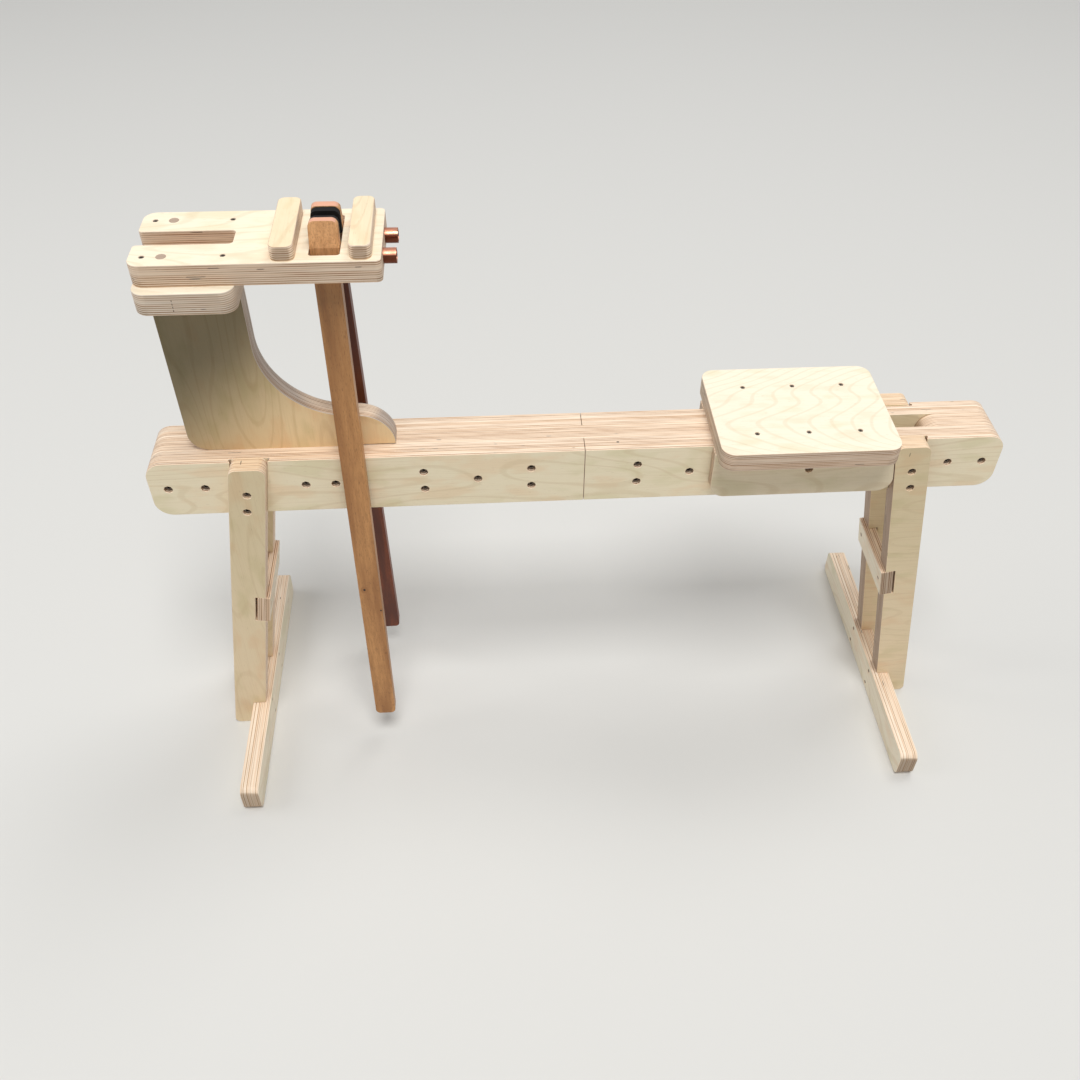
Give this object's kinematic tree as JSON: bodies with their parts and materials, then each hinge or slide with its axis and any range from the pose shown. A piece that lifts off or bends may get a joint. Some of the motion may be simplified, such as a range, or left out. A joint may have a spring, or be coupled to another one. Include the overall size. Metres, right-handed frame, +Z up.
{
  "type": "shaving horse",
  "caption": "Plywood shaving horse: splayed legs carry a laminated beam with a sliding seat, a post and a forked head whose padded jaws close as its knee levers are pushed out.",
  "frame": {"origin": "on the floor, under the middle of the beam", "axes": "+X along the beam from the head to the seat, +Y across the beam to the far side, +Z up"},
  "size_m": [1.231, 0.481, 0.9212],
  "materials": {
    "birch_plywood": "sanded and oiled birch plywood, pale, with striped edges",
    "lever_hardwood": "oiled hardwood with straight grain",
    "pad_rubber": "black rubber sheet",
    "pivot_copper": "plain copper tube",
    "fastener_steel": "dark zinc-plated steel",
    "plug_beech": "side-grain wood plug, sanded flush"
  },
  "bodies": {
    "root": {"beam_bolts": "fastener_steel", "beam_core_front": "birch_plywood", "beam_core_middle": "birch_plywood", "beam_core_rear": "birch_plywood", "beam_nuts": "fastener_steel", "beam_side_front_far": "birch_plywood", "beam_side_front_near": "birch_plywood", "beam_side_rear_far": "birch_plywood", "beam_side_rear_near": "birch_plywood", "foot_front": "birch_plywood", "foot_rear": "birch_plywood", "foot_screws": "fastener_steel", "head_deep_screws": "fastener_steel", "head_plate": "birch_plywood", "head_plugs": "plug_beech", "head_rest_plate": "birch_plywood", "head_screws": "fastener_steel", "leg_bolts": "fastener_steel", "leg_front_far": "birch_plywood", "leg_front_near": "birch_plywood", "leg_inserts": "fastener_steel", "leg_rear_far": "birch_plywood", "leg_rear_near": "birch_plywood", "pivot_tube_far": "pivot_copper", "pivot_tube_near": "pivot_copper", "post": "birch_plywood", "stretcher_front": "birch_plywood", "stretcher_rear": "birch_plywood", "stretcher_screws": "fastener_steel", "work_stop_front": "birch_plywood", "work_stop_rear": "birch_plywood"},
    "lever_near": {"lever_near": "lever_hardwood", "jaw_pad_near": "pad_rubber"},
    "lever_far": {"lever_far": "lever_hardwood", "jaw_pad_far": "pad_rubber"},
    "seat": {"seat_board": "birch_plywood", "seat_cheek_far": "birch_plywood", "seat_cheek_near": "birch_plywood", "seat_lock_bolt": "fastener_steel", "seat_screws": "fastener_steel"}
  },
  "joints": [
    {"name": "lever_near_swing", "type": "hinge", "parent": "root", "child": "lever_near", "pos_m": [-0.3237, -0.0245, 0.8733], "axis": [-1, 0, 0], "range_deg": [0, 6.75]},
    {"name": "lever_far_swing", "type": "hinge", "parent": "root", "child": "lever_far", "pos_m": [-0.3237, 0.0245, 0.8733], "axis": [1, 0, 0], "range_deg": [0, 6.75]},
    {"name": "seat_slide", "type": "slide", "parent": "root", "child": "seat", "axis": [-1, 0, 0], "range_m": [0, 0.44]}
  ]
}
